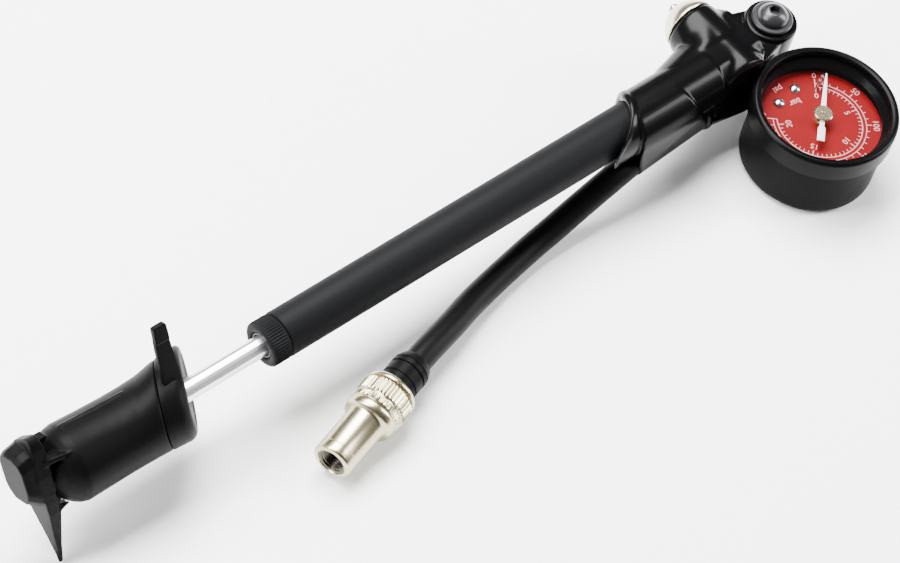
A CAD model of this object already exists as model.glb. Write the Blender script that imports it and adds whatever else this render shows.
"""Looks of the shock suspension pump, built round its CAD frame. Lengths are in millimetres until a helper
makes metres of them."""

import math

import bmesh
import bpy
from mathutils import Matrix, Vector


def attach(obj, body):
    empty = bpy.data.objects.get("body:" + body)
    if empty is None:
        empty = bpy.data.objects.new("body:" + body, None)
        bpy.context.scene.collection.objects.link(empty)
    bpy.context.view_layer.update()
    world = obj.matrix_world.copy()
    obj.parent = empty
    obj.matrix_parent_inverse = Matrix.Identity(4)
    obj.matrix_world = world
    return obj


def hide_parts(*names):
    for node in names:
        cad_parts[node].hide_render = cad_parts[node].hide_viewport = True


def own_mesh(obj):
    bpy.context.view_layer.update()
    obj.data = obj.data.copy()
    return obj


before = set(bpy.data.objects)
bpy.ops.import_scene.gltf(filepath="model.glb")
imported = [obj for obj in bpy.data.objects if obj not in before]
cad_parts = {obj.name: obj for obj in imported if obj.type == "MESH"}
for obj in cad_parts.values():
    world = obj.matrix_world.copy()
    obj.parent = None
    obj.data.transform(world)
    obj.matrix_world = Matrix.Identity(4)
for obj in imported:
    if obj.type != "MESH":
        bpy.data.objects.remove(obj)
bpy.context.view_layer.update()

MM = 0.001
X, Y, Z = Vector((1, 0, 0)), Vector((0, 1, 0)), Vector((0, 0, 1))
AXIS_Y, AXIS_Z = 30.3, 26.0
BARREL_AXIS = (0, AXIS_Y, AXIS_Z)
HOSE_SEAT_Z = 15.0
BLEED_AXIS = (-13.7, AXIS_Y, AXIS_Z)
PIVOT = (11.0, 36.0, 0)
STEM_Z = 13.5
STEM_TURN = math.radians(-8.0)
STEM_AXIS = Vector((-math.sin(STEM_TURN), math.cos(STEM_TURN), 0))
HANDLE_PLACE = Matrix.Translation(BARREL_AXIS) @ Matrix.Rotation(math.radians(60.0), 4, "X")
MOUTH = (-200.2, -4.5, 8.5)
CONNECTOR_YAW = math.radians(15.9)
CONNECTOR_AXIS = Vector((math.cos(CONNECTOR_YAW), math.sin(CONNECTOR_YAW), 0))
DIAL_TOP = 19.4


# ---------------------------------------------------------------- materials
def material(name, colour, roughness, metallic=0.0, grain=0.0, grain_size=0.4, streak=0.0, alpha=1.0,
             shine=0.5):
    """A Principled material.

    grain is a fine bump, and streak varies the roughness in soft patches.
    """
    made = bpy.data.materials.new(name)
    made.use_nodes = True
    tree = made.node_tree
    shader = tree.nodes["Principled BSDF"]
    shader.inputs["Base Color"].default_value = (*colour, 1.0)
    shader.inputs["Roughness"].default_value = roughness
    shader.inputs["Metallic"].default_value = metallic
    shader.inputs["Alpha"].default_value = alpha
    shader.inputs["Specular IOR Level"].default_value = shine
    place = tree.nodes.new("ShaderNodeTexCoord")
    if grain:
        spots = tree.nodes.new("ShaderNodeTexNoise")
        spots.inputs["Scale"].default_value = 1000.0 / grain_size
        spots.inputs["Detail"].default_value = 2.0
        bump = tree.nodes.new("ShaderNodeBump")
        bump.inputs["Strength"].default_value = grain
        bump.inputs["Distance"].default_value = 0.0001
        tree.links.new(place.outputs["Object"], spots.inputs["Vector"])
        tree.links.new(spots.outputs["Fac"], bump.inputs["Height"])
        tree.links.new(bump.outputs["Normal"], shader.inputs["Normal"])
    if streak:
        patches = tree.nodes.new("ShaderNodeTexNoise")
        patches.inputs["Scale"].default_value = 60.0
        patches.inputs["Detail"].default_value = 4.0
        spread = tree.nodes.new("ShaderNodeMapRange")
        spread.inputs["To Min"].default_value = roughness - streak
        spread.inputs["To Max"].default_value = roughness + streak
        tree.links.new(place.outputs["Object"], patches.inputs["Vector"])
        tree.links.new(patches.outputs["Fac"], spread.inputs["Value"])
        tree.links.new(spread.outputs["Result"], shader.inputs["Roughness"])
    return made


BLACK = (0.0015, 0.0015, 0.0017)
ANODISED = material("anodised_black", (0.004, 0.0042, 0.0048), 0.55, grain=0.2, grain_size=0.25,
                    streak=0.03, shine=0.05)
GLOSS = material("gloss_black", BLACK, 0.22, grain=0.03, grain_size=0.6, streak=0.04, shine=0.08)
BEZEL_BLACK = material("bezel_black", BLACK, 0.28, streak=0.02, shine=0.045)
SATIN = material("satin_black", BLACK, 0.45, grain=0.2, grain_size=0.5, streak=0.05, shine=0.04)
CASE_BLACK = material("case_black", BLACK, 0.4, grain=0.08, grain_size=0.5, streak=0.04, shine=0.035)
HOSE_BLACK = material("hose_rubber", (0.002, 0.002, 0.002), 0.45, grain=0.12, grain_size=0.6, streak=0.05,
                      shine=0.05)
RUBBER = material("seal_rubber", (0.012, 0.012, 0.012), 0.6, grain=0.2)
NICKEL = material("warm_nickel", (0.47, 0.42, 0.27), 0.25, metallic=1.0, streak=0.05)
PALE_NICKEL = material("pale_nickel", (0.62, 0.56, 0.43), 0.25, metallic=1.0, streak=0.05)
DARK_NICKEL = material("shaded_nickel", (0.10, 0.09, 0.075), 0.3, metallic=1.0, streak=0.05)
ALUMINIUM = material("satin_aluminium", (0.86, 0.86, 0.87), 0.3, metallic=1.0, grain=0.12, grain_size=0.2,
                     streak=0.05)
STEEL = material("bright_steel", (0.72, 0.72, 0.72), 0.22, metallic=1.0, streak=0.04)
BLACK_STEEL = material("black_steel", (0.03, 0.03, 0.032), 0.3, metallic=0.6, streak=0.04)
BRASS = material("machined_brass", (0.78, 0.6, 0.28), 0.26, metallic=1.0, streak=0.04)
DIAL_RED = material("dial_red", (0.135, 0.002, 0.003), 0.5, streak=0.03, shine=0.08)
PRINT = material("dial_print", (0.50, 0.25, 0.27), 0.5, shine=0.1)
NEEDLE_WHITE = material("needle_white", (0.62, 0.62, 0.61), 0.35)
GLASS = material("lens", (0.01, 0.01, 0.01), 0.03, alpha=0.04, shine=0.2)

NODE_LOOKS = {
    ANODISED: "barrel barrel_end_cap",
    GLOSS: "head_body gauge_arm",
    BEZEL_BLACK: "gauge_bezel",
    CASE_BLACK: "gauge_case",
    SATIN: "handle_grip handle_collar handle_palm hose_ferrule",
    BLACK_STEEL: "arm_washer arm_screw",
    HOSE_BLACK: "hose",
    RUBBER: "rod_wiper piston_seal barrel_o_ring bleed_seal connector_seal",
    NICKEL: "bleed_valve_body bleed_button connector_nut connector_collar",
    ALUMINIUM: "rod handle_core",
    STEEL: "piston_screw handle_stud check_valve_ball check_valve_spring needle_hub stop_pin_1 stop_pin_2"
           " dial_screw_1 dial_screw_2 needle_spindle sector_pivot depressor_pin",
    BRASS: "rod_bushing piston needle_bush check_valve_seat hose_fitting connector_core gauge_stem"
           " bourdon_tube movement_plate sector_gear",
    DIAL_RED: "dial_plate",
    NEEDLE_WHITE: "gauge_needle",
    GLASS: "gauge_lens",
}
for look, names in NODE_LOOKS.items():
    for name in names.split():
        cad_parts[name].data.materials.clear()
        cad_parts[name].data.materials.append(look)


# ---------------------------------------------------------------- helpers
def show(name, mesh, look, body, replaced=(), sharp=32.0):
    """Make a mesh a piece of the object: it rides on a body and stands for the CAD nodes it replaces."""
    piece = bpy.data.objects.new(name, mesh)
    bpy.context.scene.collection.objects.link(piece)
    mesh.materials.clear()
    mesh.materials.append(look)
    mesh.shade_smooth()
    mesh.set_sharp_from_angle(angle=math.radians(sharp))
    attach(piece, body)
    if replaced:
        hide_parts(*replaced)
    return piece


def to_mesh(name, shape):
    """A mesh in metres from a shape in millimetres."""
    bmesh.ops.scale(shape, vec=(MM, MM, MM), verts=shape.verts)
    bmesh.ops.recalc_face_normals(shape, faces=shape.faces)
    mesh = bpy.data.meshes.new(name)
    shape.to_mesh(mesh)
    shape.free()
    return mesh


def skin(rings, closed=False):
    """Rings of equal counts joined in order. The ends are capped, or joined to each other."""
    shape = bmesh.new()
    rows = [[shape.verts.new(point) for point in ring] for ring in rings]
    count = len(rows[0])
    pairs = list(zip(rows, rows[1:])) + ([(rows[-1], rows[0])] if closed else [])
    for first, second in pairs:
        for i in range(count):
            j = (i + 1) % count
            shape.faces.new((first[i], first[j], second[j], second[i]))
    if not closed:
        shape.faces.new(rows[0][::-1])
        shape.faces.new(rows[-1])
    return to_mesh("skin", shape)


def turned(outline, at, axis, steps=96, closed=False, relief=None):
    """A profile of (along, radius) turned about an axis.

    relief(along, radius, angle) is added to the radius.
    """
    turn = axis.to_track_quat("Z", "Y")
    rings = []
    for along, radius in outline:
        ring = []
        for i in range(steps):
            angle = 2 * math.pi * i / steps
            reach = radius + (relief(along, radius, angle) if relief else 0.0)
            local = Vector((reach * math.cos(angle), reach * math.sin(angle), along))
            ring.append(Vector(at) + turn @ local)
        rings.append(ring)
    return skin(rings, closed)


def arc(along, radius, size, start, end, count=6):
    """Outline points of a rounded edge, round a centre."""
    points = []
    for i in range(count + 1):
        angle = math.radians(start + (end - start) * i / count)
        points.append((along + size * math.sin(angle), radius + size * math.cos(angle)))
    return points


def round_section(x, y, z, radius, slope_y=0.0, count=48):
    """A circle across the barrel, which leans by slope_y."""
    points = []
    for i in range(count):
        angle = 2 * math.pi * i / count
        across, up = radius * math.cos(angle), radius * math.sin(angle)
        points.append(Vector((x + slope_y * across, y + across, z + up)))
    return points


def level_disc(x, y, z, radius, count=48):
    """A circle on a level plane."""
    angles = [2 * math.pi * i / count for i in range(count)]
    return [Vector((x + radius * math.cos(a), y + radius * math.sin(a), z)) for a in angles]


def ball(x, y, z, radius):
    """Points of a sphere, for a hull."""
    points = []
    for i in range(1, 12):
        polar = math.pi * i / 12
        points += level_disc(x, y, z + radius * math.cos(polar), radius * math.sin(polar), 24)
    return points


def hull(points, place=Matrix()):
    """The convex body round some points."""
    shape = bmesh.new()
    for point in points:
        shape.verts.new(place @ Vector(point))
    bmesh.ops.remove_doubles(shape, verts=shape.verts, dist=0.005)
    bmesh.ops.convex_hull(shape, input=shape.verts)
    bmesh.ops.delete(shape, geom=[v for v in shape.verts if not v.link_faces], context="VERTS")
    return to_mesh("hull", shape)


def block(low, high):
    """A box between two corners."""
    return hull([(x, y, z) for x in (low[0], high[0]) for y in (low[1], high[1])
                 for z in (low[2], high[2])])


def joined(meshes):
    """One mesh of several."""
    shape = bmesh.new()
    for mesh in meshes:
        shape.from_mesh(mesh)
    result = bpy.data.meshes.new("joined")
    shape.to_mesh(result)
    shape.free()
    return result


def applied(mesh, add_modifiers, name):
    """A mesh with modifiers applied. add_modifiers may return helpers, which are removed afterwards."""
    holder = bpy.data.objects.new("holder", mesh)
    bpy.context.scene.collection.objects.link(holder)
    helpers = add_modifiers(holder) or []
    bpy.context.view_layer.update()
    result = bpy.data.meshes.new_from_object(holder.evaluated_get(bpy.context.evaluated_depsgraph_get()))
    result.name = name
    for helper in [holder, *helpers]:
        bpy.data.objects.remove(helper)
    return result


def moulded(meshes, voxel, soften, name, cuts=()):
    """Overlapping bodies fused into one moulding with softened edges, then cut by other bodies."""
    def add(holder):
        remesh = holder.modifiers.new("fuse", "REMESH")
        remesh.mode = "VOXEL"
        remesh.voxel_size = voxel * MM
        smooth = holder.modifiers.new("soften", "SMOOTH")
        smooth.factor = 0.5
        smooth.iterations = soften
    result = applied(joined(meshes), add, name)
    return cut(result, cuts, name) if cuts else result


def cut(mesh, cuts, name):
    """A mesh with other bodies cut away from it."""
    def add(holder):
        helpers = []
        for cutter in cuts:
            helper = bpy.data.objects.new("cutter", cutter)
            bpy.context.scene.collection.objects.link(helper)
            boolean = holder.modifiers.new("cut", "BOOLEAN")
            boolean.operation = "DIFFERENCE"
            boolean.object = helper
            helpers.append(helper)
        return helpers
    return applied(mesh, add, name)


def bevelled(mesh, width, name, segments):
    """A mesh with its edges rounded over a width."""
    def add(holder):
        bevel = holder.modifiers.new("bevel", "BEVEL")
        bevel.width = width * MM
        bevel.segments = segments
        bevel.angle_limit = math.radians(30.0)
    return applied(mesh, add, name)


def bar(back, front, radius):
    """The outline of a plain rod."""
    return [(back, radius), (front, radius)]


# ---------------------------------------------------------------- camera
CAMERA_AIM = Vector((-0.1259, 0.0278, 0.0))
CAMERA_DISTANCE = 0.9677
CAMERA_LENS = 128.0
SENSOR_WIDTH = 36.0
AZIMUTH, ELEVATION, ROLL = math.radians(-53.306), math.radians(54.319), math.radians(15.951)
toward = Vector((math.sin(AZIMUTH) * math.cos(ELEVATION), -math.cos(AZIMUTH) * math.cos(ELEVATION),
                 math.sin(ELEVATION)))
level = Vector((math.cos(AZIMUTH), math.sin(AZIMUTH), 0))
above = toward.cross(level)
right = math.cos(ROLL) * level + math.sin(ROLL) * above
up = -math.sin(ROLL) * level + math.cos(ROLL) * above
camera_data = bpy.data.cameras.new("camera")
camera_data.lens = CAMERA_LENS
camera_data.sensor_width = SENSOR_WIDTH
camera = bpy.data.objects.new("camera", camera_data)
bpy.context.scene.collection.objects.link(camera)
pose = Matrix((right, up, toward)).transposed().to_4x4()
pose.translation = CAMERA_AIM + toward * CAMERA_DISTANCE
camera.matrix_world = pose
bpy.context.scene.camera = camera

# ---------------------------------------------------------------- hose
HOSE_R = 4.3
HOSE_ROUTE = [Vector(MOUTH) + CONNECTOR_AXIS * 39.6, Vector(MOUTH) + CONNECTOR_AXIS * 49.0]
HOSE_ROUTE += [Vector(p) for p in (
    (-140.1, 12.4, 7.2), (-129.2, 15.7, 5.7), (-118.8, 18.1, 4.8), (-109.0, 19.9, 4.6),
    (-99.6, 21.3, 5.0), (-91.1, 22.0, 6.4), (-82.8, 22.5, 8.6), (-75.1, 22.8, 11.0), (-67.5, 23.0, 13.5),
    (-60.0, 23.6, 14.8), (-54.0, 24.34, HOSE_SEAT_Z), (-47.5, 25.14, HOSE_SEAT_Z))]


def smooth_route(points, steps):
    """A Catmull-Rom curve through the points."""
    ends = [points[0] * 2 - points[1]] + points + [points[-1] * 2 - points[-2]]
    route = []
    for before, start, end, after in zip(ends, ends[1:], ends[2:], ends[3:]):
        for step in range(steps):
            t = step / steps
            bend = (2 * before - 5 * start + 4 * end - after) * t ** 2
            twist = (3 * start - before - 3 * end + after) * t ** 3
            route.append((2 * start + (end - before) * t + bend + twist) / 2)
    return route + [points[-1]]


def make_hose():
    """The hose as one round tube. Returns its piece."""
    curve = bpy.data.curves.new("hose_tube", "CURVE")
    curve.dimensions = "3D"
    curve.bevel_depth = HOSE_R * MM
    curve.bevel_resolution = 12
    curve.use_fill_caps = True
    route = smooth_route(HOSE_ROUTE, steps=8)
    spline = curve.splines.new("POLY")
    spline.points.add(len(route) - 1)
    for target, point in zip(spline.points, route):
        target.co = (*(point * MM), 1.0)
    spline.use_smooth = True
    curve.materials.append(HOSE_BLACK)
    hose = bpy.data.objects.new("hose_tube", curve)
    bpy.context.scene.collection.objects.link(hose)
    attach(hose, "pump_body")
    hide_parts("hose")
    return hose


def make_connector():
    """The knurled connector and the hose's ferrule. Returns the pieces that go with the hose."""
    ribs, fine_ribs = 44, 64
    knurled, fine_knurled, threaded = (25.5, 30.5), (22.3, 24.3), (0.3, 8.6)
    outside_r, bore_r = 7.0, 4.4
    pitch, depth = 0.8, 0.42
    shortening = 0.952

    def shorter(outline):
        return [(along * shortening, radius) for along, radius in outline]

    def relief(along, radius, angle):
        """The knurls outside and the thread in the mouth."""
        along /= shortening
        if knurled[0] < along < knurled[1] and radius > outside_r:
            return -depth * (0.5 + 0.5 * math.cos(ribs * angle)) ** 0.6
        if fine_knurled[0] < along < fine_knurled[1] and radius > outside_r:
            return -0.25 * (0.5 + 0.5 * math.cos(fine_ribs * angle)) ** 0.7
        if threaded[0] < along < threaded[1] and radius < bore_r:
            wave = 0.5 + 0.5 * math.cos(2 * math.pi * along / pitch - angle)
            return -depth * wave * min(1.0, max(0.0, along - threaded[0]))
        return 0.0

    def on_connector(outline, steps=96, ribbed=False):
        return turned(shorter(outline), MOUTH, CONNECTOR_AXIS, steps, closed=True,
                      relief=relief if ribbed else None)

    threads = [(0.5 + 0.1 * i, 3.95) for i in range(86)]
    thread = [(11.0, 3.9)] + threads[::-1] + [(0.35, 4.15), (0.35, 4.45), (11.0, 4.45)]
    nut = [(11.0, 4.5), (0.3, 4.5), (0.0, 4.7), (0.0, 5.2)] + arc(0.9, 5.3, 0.9, -90, 0)
    nut += [(3.0, 6.2), (3.15, 6.02), (3.65, 6.02), (3.8, 6.2), (17.6, 6.2)]
    nut += [(18.0, 6.35), (18.3, 6.8), (18.6, 7.4), (19.0, 7.8), (19.6, 8.05), (20.6, 8.15), (21.4, 8.1)]
    nut += [(21.8, 7.9), (22.0, 7.75), (22.3, 8.1), (22.35, 8.2), (24.25, 8.2), (24.35, 8.05),
            (24.6, 7.6)]
    nut += [(25.0, 7.6), (25.3, 8.0), (25.55, 8.45)] + [(25.8 + 0.5 * i, 8.5) for i in range(10)]
    nut += [(30.45, 8.45), (30.75, 8.0), (30.75, 3.4), (11.0, 3.4)]
    show("connector_thread", on_connector(thread, ribbed=True), DARK_NICKEL, "connector_nut")
    show("connector_nut_shown", on_connector(nut, 8 * ribs, ribbed=True), NICKEL, "connector_nut",
         ["connector_nut"], sharp=40.0)
    collar = [(31.1, 3.4), (31.1, 7.8), (31.3, 8.2), (31.6, 8.3), (32.3, 8.25), (32.9, 7.9), (33.3, 7.3),
              (33.5, 6.9), (33.5, 3.4)]
    collar_piece = show("connector_collar_shown", on_connector(collar), NICKEL, "pump_body",
                        ["connector_collar"])
    ferrule = [(33.8, 3.4), (33.8, 5.6), (34.1, 5.95), (36.0, 6.0), (36.15, 5.75), (36.6, 5.75),
               (36.75, 6.05)]
    ferrule += [(40.3, 6.05), (40.45, 5.7), (40.9, 5.7), (41.05, 6.1), (42.3, 6.1), (42.45, 5.8),
                (42.9, 5.8)]
    ferrule += [(43.05, 6.0), (43.6, 5.9), (44.6, 5.5), (45.5, 5.2), (45.9, 4.95), (46.0, 4.6),
                (41.3, 4.6), (41.3, 3.4)]
    ferrule_piece = show("hose_ferrule_shown", on_connector(ferrule), SATIN, "pump_body",
                         ["hose_ferrule"])
    return [collar_piece, ferrule_piece]


hose = make_hose()
on_hose = make_connector()


# ---------------------------------------------------------------- barrel and plunger
def make_barrel():
    """The barrel's tube, its knurled end cap and the wiper round the rod."""
    ribs = 52
    barrel = [(-194.5, 6.0), (-194.5, 6.9), (-194.2, 7.15), (-193.9, 7.25), (-22.0, 7.25), (-22.0, 6.0)]
    show("barrel_shown", turned(barrel, BARREL_AXIS, X, 128, closed=True), ANODISED, "pump_body",
         ["barrel"])

    def relief(along, radius, angle):
        knurled = radius > 6.9 and along > -200.6
        return -0.3 * (0.5 + 0.5 * math.cos(ribs * angle)) ** 0.5 if knurled else 0.0

    cap = [(-184.5, 4.4), (-184.5, 5.7), (-194.8, 5.7), (-194.8, 6.8), (-195.1, 7.15), (-195.4, 7.2),
           (-197.5, 7.2), (-199.6, 7.2), (-200.3, 7.15), (-200.7, 6.8), (-201.0, 6.2), (-201.0, 4.7),
           (-200.8, 4.4)]
    show("barrel_end_cap_shown", turned(cap, BARREL_AXIS, X, 8 * ribs, closed=True, relief=relief),
         ANODISED, "pump_body", ["barrel_end_cap"], sharp=50.0)
    wiper = [(-200.8, 3.5), (-200.8, 3.9), (-200.6, 4.1), (-199.3, 4.1), (-199.3, 3.5)]
    show("rod_wiper_shown", turned(wiper, BARREL_AXIS, X, 64, closed=True), RUBBER, "pump_body",
         ["rod_wiper"])


# ---------------------------------------------------------------- handle
SLOPE = -0.62
SEAM, HANDLE_FRONT = -235.6, -226.9


def slanted(x, radius, slope, dip=0.0):
    """A slanted ring of the handle. dip flattens the side under the tab."""
    points = []
    for i in range(96):
        angle = 2 * math.pi * i / 96
        reach = radius - dip * max(0.0, math.cos(angle)) ** 1.5
        across, above = reach * math.cos(angle), reach * math.sin(angle)
        points.append(HANDLE_PLACE @ Vector((x + slope * above, across, above)))
    return points


def make_grip():
    """The grip and its T-shaped palm, one moulding.

    In the handle's own frame, w runs up the T and z across it, both from the barrel's axis.
    """
    profile = ((-277.8, 4.5, 0.0), (-276.0, 6.6, 0.0), (-274.5, 8.6, 0.0), (-272.8, 10.2, 0.0),
               (-270.8, 11.4, 0.1), (-268.5, 12.0, 0.3), (-266.0, 12.0, 0.5), (-262.0, 11.95, 0.8),
               (-254.0, 11.9, 1.3), (-249.0, 11.9, 1.4), (-246.0, 11.95, 1.3))
    rings = []
    for x, radius, dip in profile:
        lean = SLOPE * max(0.0, min(1.0, (x + 272.0) / 26.0))
        rings.append(slanted(x, radius, lean, dip))
    front = ((-243.0, 12.0, 1.2), (-240.0, 12.1, 0.6), (-237.5, 12.2, 0.1), (SEAM - 0.7, 12.25, 0.0),
             (SEAM - 0.12, 12.15, 0.0))
    rings += [slanted(x, radius, SLOPE, dip) for x, radius, dip in front]
    bodies = [skin(rings)]
    crease = []
    for x, height, half in ((-268.0, 12.0, 0.25), (-262.0, 11.5, 0.25), (-247.0, 10.95, 0.25)):
        crease += [(x, height, side * half - 0.5) for side in (-1, 1)]
        crease += [(x, height - 1.5, side * 1.5 - 0.5) for side in (-1, 1)]
    bodies.append(hull(crease, HANDLE_PLACE))
    boss_rows = ((-278.0, -7.4, 12.6, 6.2), (-281.0, -6.6, 13.0, 6.3), (-284.2, -4.2, 12.4, 6.2),
                 (-285.7, -3.0, 11.6, 5.8))
    boss = []
    for x, low, high, half in boss_rows:
        shares = ((low, 0.45), (low + 2.2, 0.85), (low + 4.5, 1.0), (high - 3.5, 1.0), (high - 1.2, 0.8),
                  (high, 0.4))
        for w, share in shares:
            boss += [(x, w, side * half * share) for side in (-1, 1)]
    bodies.append(hull(boss, HANDLE_PLACE))
    leaf = ((4, 6.6), (0, 6.5), (-5, 6.2), (-9, 5.6), (-13, 4.5), (-17, 3.3), (-21, 2.4), (-25, 1.6),
            (-28.4, 0.6))
    for rows in zip(leaf, leaf[1:]):
        points = []
        for w, half in rows:
            share = (4 - w) / 33.0
            back_x, front_x, middle = -282.2 + 2.8 * share, -277.3 - 1.3 * share, -1.0 * share
            points += [(x, w, middle + side * half) for x in (back_x, front_x) for side in (-1, 1)]
        bodies.append(hull(points, HANDLE_PLACE))
    web = []
    for w, front_x, half in ((-6.0, -274.6, 2.2), (-11.0, -274.9, 1.6), (-28.4, -279.0, 0.3)):
        web += [(x, w, side * half - 0.6) for x in (-280.0, front_x) for side in (-1, 1)]
    bodies.append(hull(web, HANDLE_PLACE))
    corner_rows = ((-277.6, -12.9), (-277.6, -9.0), (-272.2, -11.3))
    bodies.append(hull([(x, w, z) for x, w in corner_rows for z in (-2.0, 1.2)], HANDLE_PLACE))
    ear = [(x, 4.0, z) for x in (-282.2, -277.2) for z in (-6.6, 6.6)]
    ear += [(x, w, z) for x in (-281.2, -277.0) for w, z in ((10.5, -5.6), (13.0, 6.2))]
    ear_tip = ((12.8, -4.2), (16.2, 2.6), (16.6, 4.4), (15.4, 5.6))
    ear += [(x, w, z) for x in (-280.6, -277.6) for w, z in ear_tip]
    bodies.append(hull(ear, HANDLE_PLACE))
    shoulder = ((5.0, -7.0), (9.6, -6.0), (11.6, -3.4), (11.4, -0.5), (5.0, 0.0))
    bodies.append(hull([(x, w, z) for x in (-279.0, -272.6) for w, z in shoulder], HANDLE_PLACE))
    fin = [(-278.5, w, z) for w in (7.0, 9.0) for z in (2.0, 6.8)]
    fin += [(-269.8, w, z) for w in (7.3, 8.3) for z in (4.0, 8.2)]
    bodies.append(hull(fin, HANDLE_PLACE))
    handle = moulded(bodies, 0.3, 7, "handle", [turned(bar(-266.3, -225.0, 5.3), BARREL_AXIS, X, 64)])
    show("handle_shown", handle, SATIN, "plunger", ["handle_palm", "handle_grip"], sharp=60.0)


def make_collar():
    """The handle's front collar and its upright tab."""
    profile = ((SEAM, 12.1), (SEAM + 0.15, 12.35), (SEAM + 0.5, 12.45), (SEAM + 2.5, 12.6),
               (SEAM + 5.0, 12.8), (SEAM + 6.2, 12.9), (SEAM + 7.2, 12.75), (SEAM + 8.0, 12.3),
               (SEAM + 8.5, 11.7), (HANDLE_FRONT, 10.9), (HANDLE_FRONT, 10.2), (HANDLE_FRONT - 0.4, 9.8),
               (HANDLE_FRONT - 0.6, 6.0), (HANDLE_FRONT - 1.2, 4.0), (HANDLE_FRONT - 1.7, 3.6))
    rings = [slanted(SEAM, 5.3, SLOPE)]
    rings += [slanted(x, radius, SLOPE) for x, radius in profile]
    rings += [slanted(-233.0, 3.6, 0.0), slanted(-233.0, 5.3, 0.0)]
    show("handle_collar_shown", skin(rings, closed=True), SATIN, "plunger", ["handle_collar"], sharp=35.0)
    strap = ((-237.6, 9.0), (-231.6, 9.0), (-236.9, 24.2), (-232.2, 24.2))
    tip = ((-236.9, 23.6), (-232.2, 23.6), (-236.6, 28.6), (-232.2, 28.6), (-236.2, 29.0), (-232.7, 29.0))
    bodies = [hull([(x, w, z) for x, w in strap for z in (5.6, 7.3)], HANDLE_PLACE),
              hull([(x, w, z) for x, w in tip for z in (5.8, 7.7)], HANDLE_PLACE)]
    show("collar_tab", moulded(bodies, 0.2, 3, "tab"), SATIN, "plunger")


# ---------------------------------------------------------------- head
def gauge_room():
    """The room that the gauge takes from its neighbours."""
    return turned([(-5.0, 22.4), (19.7, 22.4), (19.7, 23.9), (45.0, 23.9)], (0, 0, 0), Z, 128)


def rim_x(y):
    """Where the sleeve's mouth lies at a distance y across the barrel: it leans forward and curves."""
    curve = ((18.0, -74.5), (21.2, -70.8), (22.9, -66.6), (25.3, -63.2), (28.6, -60.0), (32.0, -58.0),
             (36.0, -56.4), (39.3, -54.0), (42.0, -52.0))
    for (low, start), (high, end) in zip(curve, curve[1:]):
        if y <= high:
            return start + (end - start) * (y - low) / (high - low)
    return curve[-1][1]


def sleeve_ring(offset, radius):
    """A ring of the sleeve's rolled lip, at an offset from its mouth."""
    section = round_section(0, AXIS_Y, AXIS_Z, radius, count=96)
    return [Vector((rim_x(point.y) + offset, point.y, point.z)) for point in section]


def make_head():
    """The head: a core moulded first, then the sleeve, the cover over the hose's end and the elbow."""
    lip = ((0.5, 7.0), (0.0, 8.9), (0.15, 9.45), (0.6, 9.75), (1.9, 9.75), (2.6, 9.4))
    sleeve = [sleeve_ring(offset, radius) for offset, radius in lip]
    for x, radius in ((-40.0, 9.4), (-24.0, 9.3), (-24.0, 7.0)):
        sleeve.append(round_section(x, AXIS_Y, AXIS_Z, radius, count=96))
    end_face = ((24.4, 13), (24.4, 26), (25.6, 31.5), (28.4, 34.0), (34, 34.2), (43, 33.0), (48.4, 28.5),
                (48.4, 14), (44, 9.5), (27, 9.5))
    end = [(-3.4, y, z) for y, z in end_face]
    core = [hull(end + round_section(-42, 29.9, 25.9, 9.2)), hull(end + ball(-22, 27.5, 16.5, 7.0))]
    angles = [math.pi * k / 24 for k in range(48)]
    boss = ((5.0, 12.6), (8.4, 10.9), (11.6, 9.9), (18.4, 9.05))
    for rows in zip(boss, boss[1:]):
        core.append(turned([(along, min(radius, 9.3)) for along, radius in rows], BLEED_AXIS, Y, 96))
        spread = []
        for along, radius in rows:
            middle = BLEED_AXIS[0] - (radius - 9.0) * 1.6
            height = min(radius, 9.1)
            spread += [Vector((middle + radius * math.cos(a), AXIS_Y + along,
                               AXIS_Z + height * math.sin(a)))
                       for a in angles]
        core.append(hull(spread))
    core.append(turned([(-8.0, 8.6), (18.4, 8.9)], BLEED_AXIS, Y, 96))
    bodies = [moulded(core, 0.45, 34, "head_core"), skin(sleeve, closed=True)]
    cover = round_section(-57.6, 28.95, 25.75, 9.6, slope_y=0.3)
    cover += round_section(-41.0, 28.95, 25.75, 9.55, slope_y=-0.42)
    cover += round_section(-58.6, 24.0, 15.1, 4.95)
    cover += round_section(-28.5, 26.5, 15.3, 5.6)
    bodies.append(hull(cover))
    bodies.append(turned(bar(-28.3, -26.6, 6.4), (0, 26.6, 15.4), X, 64))
    bodies.append(hull(ball(-24.0, 26.6, 15.5, 6.3) + ball(-12.5, 25.4, 15.5, 6.8)))
    bleed_bore = [(0.0, 2.4), (10.0, 2.4), (10.0, 7.0), (25.0, 7.0)]
    hose_line = Vector((1.0, 0.123, 0.0)).normalized()
    cuts = [
        block((-4.2, 0, -10), (30, 80, 60)),
        gauge_room(),
        turned(bar(-90.0, -21.7, 7.5), BARREL_AXIS, X, 96),
        turned(bar(-30.0, 12.6, 4.6), (-60.0, 23.6, 15.0), hose_line, 64),
        turned(bleed_bore, BLEED_AXIS, Y, 64),
    ]
    head = moulded(bodies, 0.36, 6, "head", cuts)
    show("head_shown", head, GLOSS, "pump_body", ["head_body"], sharp=35.0)


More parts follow.
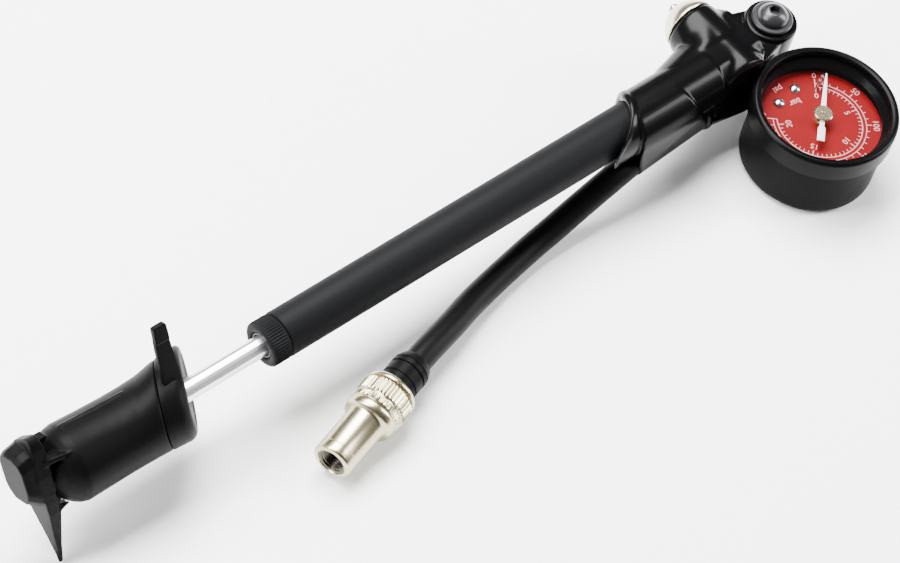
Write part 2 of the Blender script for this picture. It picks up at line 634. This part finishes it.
def make_bleed_valve():
    """The bleed valve's dome and the button in it."""
    dome = [(12.0, 3.4), (12.0, 6.7), (18.7, 6.7), (18.7, 8.7), (19.0, 8.85), (19.5, 8.8), (20.6, 8.25),
            (21.8, 7.4)]
    dome += [(22.9, 6.4), (23.8, 5.4), (24.5, 4.4), (25.0, 3.5), (25.2, 2.9), (25.2, 2.1), (21.5, 2.1),
             (21.5, 3.4)]
    show("bleed_valve_shown", turned(dome, BLEED_AXIS, Y, 96, closed=True), PALE_NICKEL, "pump_body",
         ["bleed_valve_body"])
    button = [(14.0, 0.9), (20.0, 0.9), (20.0, 3.0), (21.2, 3.0), (21.2, 1.8), (26.2, 1.8), (26.6, 1.65),
              (26.85, 1.2)]
    show("bleed_button_shown", turned(button, BLEED_AXIS, Y, 48), NICKEL, "bleed_button",
         ["bleed_button"])


def make_bleed_spring():
    """The spring under the button. It shortens as the button is pressed."""
    low, length, reach, wire = 12.9, 6.3, 2.2, 0.35
    turns, steps = 5, 24
    around = [2 * math.pi * k / 12 for k in range(12)]
    rings = []
    for i in range(turns * steps + 1):
        angle = 2 * math.pi * i / steps
        outward = Vector((math.cos(angle), 0.0, math.sin(angle)))
        forward = Vector((-math.sin(angle), 0.0, math.cos(angle)))
        forward.y = length / (2 * math.pi * turns * reach)
        side = outward.cross(forward).normalized()
        centre = Vector(BLEED_AXIS) + Y * (low + length * i / (turns * steps)) + outward * reach
        rings.append([centre + (outward * math.cos(a) + side * math.sin(a)) * wire for a in around])
    spring = show("bleed_spring_shown", skin(rings), STEEL, "pump_body", ["bleed_spring"], sharp=60.0)
    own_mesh(spring)


def make_gauge_arm():
    """The arm from the head to the gauge's stem, with its eye, washer and screw."""
    low, high = 7.0, 25.0
    root = [(-5.0, y, z) for y in (24.5, 48.2) for z in (9.2, 24.2)]
    eye = turned([(low, 8.0), (low + 0.8, 8.6), (high - 0.6, 8.6), (high, 8.1)], PIVOT, Z, 96)
    waist = root + level_disc(9.0, 36.0, 8.0, 7.6) + level_disc(9.0, 36.0, 23.2, 7.6)
    neck = turned(bar(20.0, 34.0, 6.1), (0, 0, STEM_Z), STEM_AXIS, 64)
    cuts = [
        block((-30, 0, -10), (-3.9, 80, 60)),
        gauge_room(),
        turned(bar(15.0, 34.5, 4.5), (0, 0, STEM_Z), STEM_AXIS, 64),
        turned(bar(10.0, 30.0, 2.6), PIVOT, Z, 48),
    ]
    arm = moulded([hull(waist), eye, neck], 0.35, 6, "arm", cuts)
    show("gauge_arm_shown", arm, GLOSS, "pump_body", ["gauge_arm"], sharp=35.0)
    washer = [(25.3, 2.6), (25.3, 6.5), (25.5, 6.7), (26.2, 6.7), (26.5, 6.4), (26.5, 2.6)]
    show("arm_washer_shown", turned(washer, PIVOT, Z, 72, closed=True), BLACK_STEEL, "pump_body",
         ["arm_washer"])
    screw = [(12.0, 2.3), (26.8, 2.3), (26.8, 4.9), (27.1, 5.0), (27.9, 4.75), (28.7, 4.2), (29.4, 3.3),
             (29.9, 2.6), (30.0, 2.2)]
    hexagon = turned(bar(28.0, 35.0, 1.95), PIVOT, Z, 6)
    show("arm_screw_shown", cut(turned(screw, PIVOT, Z, 72), [hexagon], "screw"), BLACK_STEEL,
         "pump_body", ["arm_screw"])


# ---------------------------------------------------------------- gauge
def make_gauge_case():
    """The gauge's case and bezel."""
    case = [(2.0, 0.5), (0.0, 0.5), (0.0, 19.0)] + arc(3.2, 18.8, 3.2, -90, 0, 10)
    case += [(19.2, 22.0), (20.1, 21.8), (20.1, 20.6), (4.0, 20.6), (2.0, 18.6)]
    hole = turned(bar(15.0, 30.0, 4.5), (0, 0, STEM_Z), STEM_AXIS, 64)
    shell = cut(turned(case, (0, 0, 0), Z, 144, closed=True), [hole], "case")
    show("gauge_case_shown", shell, CASE_BLACK, "pump_body", ["gauge_case"])
    bezel = [(20.4, 20.8), (20.4, 23.2), (20.7, 23.5)] + arc(26.9, 22.2, 1.3, 0, 90, 10) + [(28.15, 21.6)]
    bezel += [(27.9, 21.05), (27.4, 20.8), (26.7, 20.8), (26.7, 21.5), (25.0, 21.5), (25.0, 20.5),
              (23.0, 19.15), (22.4, 19.15), (22.4, 20.8)]
    show("gauge_bezel_shown", turned(bezel, (0, 0, 0), Z, 144, closed=True), BEZEL_BLACK, "pump_body",
         ["gauge_bezel"])


# ---------------------------------------------------------------- dial
PRINT_HEIGHTS = (DIAL_TOP + 0.01, DIAL_TOP + 0.04)
PSI_ARC_R, BAR_ARC_R = 15.1, 13.8
PSI_FIGURES_R, BAR_FIGURES_R = 18.2, 10.2
MOST_PSI = 300
PSI_PER_BAR = 14.5


def psi_angle(psi):
    """Where a pressure stands on the dial."""
    return math.radians(52.0 - 0.9 * psi)


def stroke(start, end, width):
    """A thin printed line on the dial, between two points."""
    along = (Vector(end) - Vector(start)).normalized()
    side = Vector((-along.y, along.x)) * width / 2
    points = []
    for point in (Vector(start), Vector(end)):
        for offset in (side, -side):
            points += [(*(point + offset), height) for height in PRINT_HEIGHTS]
    return hull(points)


def polar(radius, angle):
    """A point round the gauge's axis."""
    return radius * math.cos(angle), radius * math.sin(angle)


def printed_arc(radius, start, end, width):
    """A printed circle's part on the dial, between two angles."""
    steps = 90
    low, high = PRINT_HEIGHTS
    angles = [start + (end - start) * i / steps for i in range(steps + 1)]
    rings = []
    for angle in angles:
        rings.append([Vector((*polar(radius + side * width / 2, angle), height))
                      for side, height in ((-1, low), (1, low), (1, high), (-1, high))])
    return skin(rings)


def printed_text(text, x, y, size, turn):
    """Raised text on the dial, centred on a point."""
    curve = bpy.data.curves.new("text", "FONT")
    curve.body = text
    curve.size = size * MM
    curve.align_x = "CENTER"
    curve.align_y = "CENTER"
    curve.extrude = 0.015 * MM
    curve.resolution_u = 4
    holder = bpy.data.objects.new("text", curve)
    bpy.context.scene.collection.objects.link(holder)
    bpy.context.view_layer.update()
    mesh = bpy.data.meshes.new_from_object(holder.evaluated_get(bpy.context.evaluated_depsgraph_get()))
    bpy.data.objects.remove(holder)
    place = Matrix.Translation(Vector((x, y, DIAL_TOP + 0.03)) * MM) @ Matrix.Rotation(turn, 4, "Z")
    mesh.transform(place)
    return mesh


def make_dial():
    """The dial's two scales and its screws."""
    start, end = psi_angle(0), psi_angle(MOST_PSI)
    marks = [printed_arc(PSI_ARC_R, start, end, 0.26), printed_arc(BAR_ARC_R, start, end, 0.3)]
    for i in range(31):
        angle = psi_angle(10 * i)
        tip, width = (16.9, 0.3) if i % 5 == 0 else (16.2, 0.22)
        marks.append(stroke(polar(PSI_ARC_R, angle), polar(tip, angle), width))
    for i in range(41):
        angle = psi_angle(PSI_PER_BAR / 2 * i)
        tip, width = (11.9, 0.3) if i % 10 == 0 else (12.6, 0.2)
        marks.append(stroke(polar(BAR_ARC_R, angle), polar(tip, angle), width))
    for angle in (start, end):
        marks.append(stroke(polar(BAR_ARC_R, angle), polar(PSI_ARC_R, angle), 0.22))
    for psi in range(0, MOST_PSI + 1, 50):
        angle = psi_angle(psi)
        marks.append(printed_text(str(psi), *polar(PSI_FIGURES_R, angle), 2.9, angle - math.pi / 2))
    for bars in range(0, 21, 5):
        angle = psi_angle(PSI_PER_BAR * bars)
        marks.append(printed_text(str(bars), *polar(BAR_FIGURES_R, angle), 2.8, angle - math.pi / 2))
    reading = STEM_TURN + math.pi
    marks.append(printed_text("psi", *polar(17.2, math.radians(98)), 3.2, reading))
    marks.append(printed_text("bar", *polar(BAR_FIGURES_R, math.radians(97)), 3.2, reading))
    show("dial_marks", joined(marks), PRINT, "pump_body")
    for i, angle in enumerate((81.0, 116.0), 1):
        dome = [(0.05, 1.9), (0.35, 1.85), (0.75, 1.6), (1.1, 1.15), (1.3, 0.6), (1.35, 0.2)]
        at = (*polar(14.0, math.radians(angle)), DIAL_TOP)
        show(f"dial_screw_{i}_shown", turned(dome, at, Z, 40), STEEL, "pump_body", [f"dial_screw_{i}"])


def make_needle():
    """The needle and its hub."""
    angle_at_rest = math.radians(42.0)
    turn = Matrix.Rotation(angle_at_rest, 4, "Z")
    low, high = 22.9, 23.35
    outline = ((-10.5, 1.2), (-10.5, -1.2), (-5.5, -1.2), (-4.6, -0.7), (0.0, -0.95), (13.0, -0.5),
               (16.8, -0.15), (16.8, 0.15), (13.0, 0.5), (0.0, 0.95), (-4.6, 0.7), (-5.5, 1.2))
    shape = bmesh.new()
    rows = [[shape.verts.new(turn @ Vector((x, y, z))) for x, y in outline] for z in (low, high)]
    for i in range(len(outline)):
        j = (i + 1) % len(outline)
        shape.faces.new((rows[0][i], rows[0][j], rows[1][j], rows[1][i]))
    shape.faces.new(rows[0])
    shape.faces.new(rows[1])
    blade = bevelled(to_mesh("blade", shape), 0.08, "blade", 2)
    show("gauge_needle_shown", blade, NEEDLE_WHITE, "needle", ["gauge_needle"])
    hub = [(0.05, 2.8), (0.2, 3.0), (0.6, 3.0), (0.8, 2.75), (0.8, 0.55), (0.7, 0.42), (0.12, 0.4)]
    show("needle_hub_shown", turned(hub, (0, 0, high), Z, 64), NICKEL, "needle", ["needle_hub"])


# ---------------------------------------------------------------- floor and lights
def make_stage():
    """A plain pale floor and three soft lights."""
    shape = bmesh.new()
    bmesh.ops.create_grid(shape, x_segments=1, y_segments=1, size=3.0)
    mesh = bpy.data.meshes.new("floor")
    shape.to_mesh(mesh)
    shape.free()
    floor = bpy.data.objects.new("floor", mesh)
    bpy.context.scene.collection.objects.link(floor)
    mesh.materials.append(material("floor_white", (0.93, 0.93, 0.93), 0.6))
    world = bpy.data.worlds.new("studio")
    bpy.context.scene.world = world
    world.use_nodes = True
    background = world.node_tree.nodes["Background"]
    background.inputs["Color"].default_value = (1.0, 1.0, 1.0, 1.0)
    background.inputs["Strength"].default_value = 0.14

    def softbox(name, place, aim, width, height, power):
        light = bpy.data.lights.new(name, "AREA")
        light.shape = "RECTANGLE"
        light.size, light.size_y = width, height
        light.energy = power
        lamp = bpy.data.objects.new(name, light)
        bpy.context.scene.collection.objects.link(lamp)
        lamp.location = place
        lamp.rotation_euler = (Vector(place) - Vector(aim)).to_track_quat("Z", "Y").to_euler()

    centre = (-0.12, 0.02, 0.0)
    softbox("top", (-0.1, 0.55, 1.1), centre, 1.2, 0.7, 98.0)
    softbox("left", (-1.1, 0.5, 0.7), centre, 0.4, 0.9, 34.0)
    softbox("right", (0.8, -0.5, 0.6), centre, 0.3, 0.9, 26.0)


make_barrel()
make_grip()
make_collar()
make_head()
make_bleed_valve()
make_bleed_spring()
make_gauge_arm()
make_gauge_case()
make_dial()
make_needle()
make_stage()
